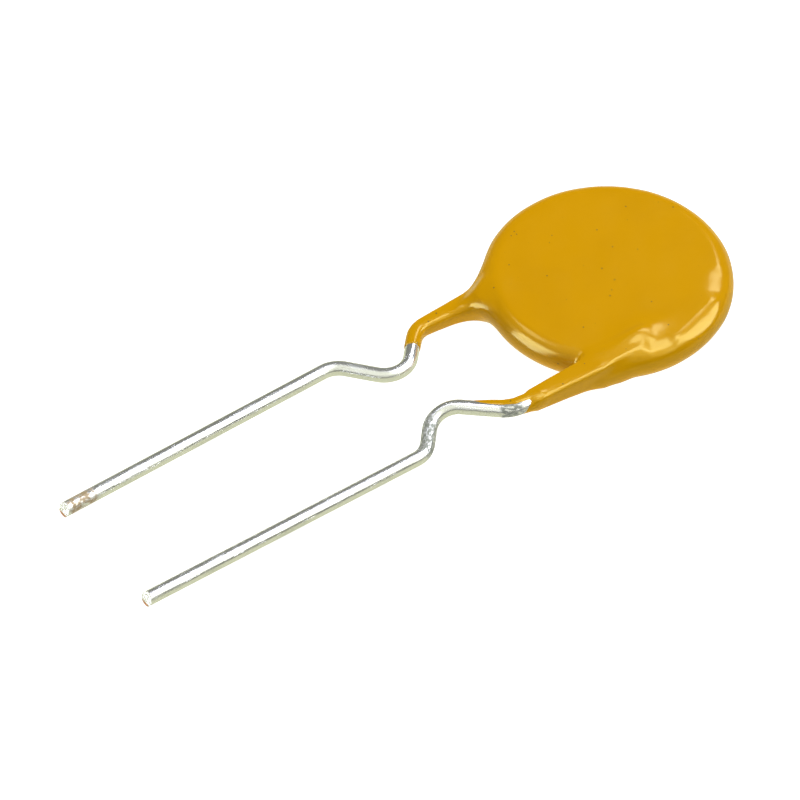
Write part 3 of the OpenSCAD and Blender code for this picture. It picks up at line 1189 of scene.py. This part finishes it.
@dataclass
class Studio:
    """The photograph's viewing angle, a pale floor and soft light."""

    azimuth: float = -36.2
    elevation: float = 47.0
    distance: float = 0.4
    field_mm: float = 27.17
    aim_right_mm: float = -7.04
    aim_up_mm: float = -4.005
    sensor_mm: float = 36.0
    clip: tuple[float, float] = (0.01, 10.0)
    floor_half: float = 1.5
    dome_r: float = 0.9
    dome_shade: Colour = (0.09, 0.095, 0.07)
    dome_front: Colour = (0.92, 0.94, 0.80)
    dome_floor: Colour = (0.68, 0.70, 0.47)
    ambient: float = 0.12
    floor_white: float = 0.42
    floor_grain: float = 0.98
    floor_glow: float = 1.0
    softboxes: tuple[Softbox, ...] = (
        Softbox("left_softbox", -66.0, 16.0, 0.30, 0.155, 0.26, 11.5),
        Softbox("left_upper", -111.0, 62.0, 0.30, 0.12, 0.07, 5.0),
        Softbox("right_softbox", 94.0, 42.0, 0.30, 0.17, 0.18, 8.5, tilt=30.0),
        Softbox("right_wall", 80.0, 50.0, 0.45, 0.40, 0.36, 1.5, tint=(1.0, 1.0, 0.85)),
        Softbox("back_panel", 155.0, 48.0, 0.30, 0.085, 0.065, 8.0),
        Softbox("overhead", 118.0, 69.0, 0.40, 0.15, 0.10, 8.5),
        Softbox("room_light", 150.0, 72.0, 0.40, 0.25, 0.25, 9.6, LightUse.FILL, tint=(1.0, 1.0, 1.0)),
    )

    def place_camera(self, centre: Vector) -> None:
        """Sets the camera where the photograph was taken from.

        Args:
            centre: The middle of the disc, in metres.
        """
        az, el = math.radians(self.azimuth), math.radians(self.elevation)
        right = Vector((math.cos(az), math.sin(az), 0.0))
        up = Vector((-math.sin(az) * math.sin(el), math.cos(az) * math.sin(el), math.cos(el)))
        back = right.cross(up)
        aim = centre + (self.aim_right_mm * right + self.aim_up_mm * up) * METRES_PER_MM
        lens = bpy.data.cameras.new("camera")
        lens.sensor_width = self.sensor_mm
        lens.lens = self.sensor_mm * self.distance / (self.field_mm * METRES_PER_MM)
        lens.clip_start, lens.clip_end = self.clip
        camera = bpy.data.objects.new("camera", lens)
        turn = Matrix((right, up, back)).transposed().to_4x4()
        camera.matrix_world = Matrix.Translation(aim + self.distance * back) @ turn
        bpy.context.scene.collection.objects.link(camera)
        bpy.context.scene.camera = camera

    def lay_floor(self) -> None:
        """Lays a pale floor that glows a little, as a light table does."""
        Workbench.clear()
        bpy.ops.mesh.primitive_plane_add(size=2 * self.floor_half)
        floor = bpy.context.object
        floor.name = "floor"
        bench = FinishBench("pale_floor")
        grain, white = bench.noise(bench.place_mm(), scale=0.05, detail=2.0), self.floor_white
        floor.data.materials.append(
            bench.dress(
                Base_Color=bench.blend(grain, (white,) * 3, (white * self.floor_grain,) * 3),
                Roughness=0.8,
                Specular_IOR_Level=0.1,
                Emission_Color=(1.0, 1.0, 1.0),
                Emission_Strength=self.floor_glow,
            )
        )
        floor.visible_glossy = False

    def hang_lights(self, centre: Vector) -> None:
        """Hangs the softboxes in a dark room that only reflections see.

        Args:
            centre: The middle of the disc, in metres.
        """
        camera_azimuth = self.azimuth - 90.0
        for softbox in self.softboxes:
            softbox.place(camera_azimuth, centre)
        Workbench.clear()
        bpy.ops.mesh.primitive_uv_sphere_add(segments=32, ring_count=16, radius=self.dome_r)
        dome = bpy.context.object
        dome.name = "dark_room"
        bench = FinishBench("dark_room")
        place, reach = bench.place_mm(), self.dome_r * MM_PER_METRE
        facing = math.radians(camera_azimuth)
        height = bench.axis(place, "Z")
        front = math.cos(facing) * bench.axis(place, "X") + math.sin(facing) * bench.axis(place, "Y")
        # The lit front and the floor fade in over shares of the room's radius.
        lit = front.smooth(-0.35 * reach, 0.1 * reach) * height.smooth(0.3 * reach, 0.5 * reach)
        wall = bench.blend(lit, self.dome_shade, self.dome_front)
        dome.data.materials.append(
            bench.dress(
                Base_Color=(0.0, 0.0, 0.0),
                Roughness=1.0,
                Specular_IOR_Level=0.0,
                Emission_Color=bench.blend(height.smooth(-0.1 * reach, 0.0), self.dome_floor, wall),
                Emission_Strength=1.0,
            )
        )
        for ray in ("camera", "diffuse", "shadow", "transmission"):
            setattr(dome, f"visible_{ray}", False)
        world = bpy.data.worlds.new("room")
        world.use_nodes = True
        sky = world.node_tree.nodes["Background"].inputs
        sky["Color"].default_value = (1.0, 1.0, 1.0, 1.0)
        sky["Strength"].default_value = self.ambient
        bpy.context.scene.world = world
        bpy.context.scene.view_settings.view_transform = "Standard"


def main() -> None:
    """Builds the part round its frame, dresses it and sets up the photograph."""
    logging.basicConfig(level=logging.INFO, format="%(name)s: %(message)s")
    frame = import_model()
    low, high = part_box("polymer_chip")
    centre = (low + high) / 2
    cut = CutFinish()
    upper = WireLead(
        "near_lead", "upper_lead", Face.UPPER, TinFinish("near_tin", dark_lengths=((11.3, 12.9), (15.3, 16.1))), cut,
        root=3.2, first_bend=6.35, apex=1.07, apex_lift=0.5, kink_in=1.80, kink_out=1.28, drift=0.2, trim=0.24,
    )
    lower = WireLead(
        "far_lead", "lower_lead", Face.LOWER, TinFinish("far_tin", scuffs=((0.2, 1.4),)), cut,
        root=2.33, first_bend=6.37, apex=0.63, apex_lift=0.0, kink_in=1.61, kink_out=1.62, drift=0.0, trim=0.18,
    )
    coat = DippedCoat("dipped_coat", "epoxy_coating", ResinFinish(), upper, lower)
    for maker in (upper, lower, coat):
        maker.lay_out(centre)
        piece = maker.build()
        maker.dress(piece)
        maker.fit(piece)
        LOG.info("%s: %d faces", piece.name, len(piece.data.polygons))
    InnerStack().dress(frame["nodes"])
    studio = Studio()
    studio.place_camera(centre)
    studio.lay_floor()
    studio.hang_lights(centre)


if __name__ == "__main__":
    main()
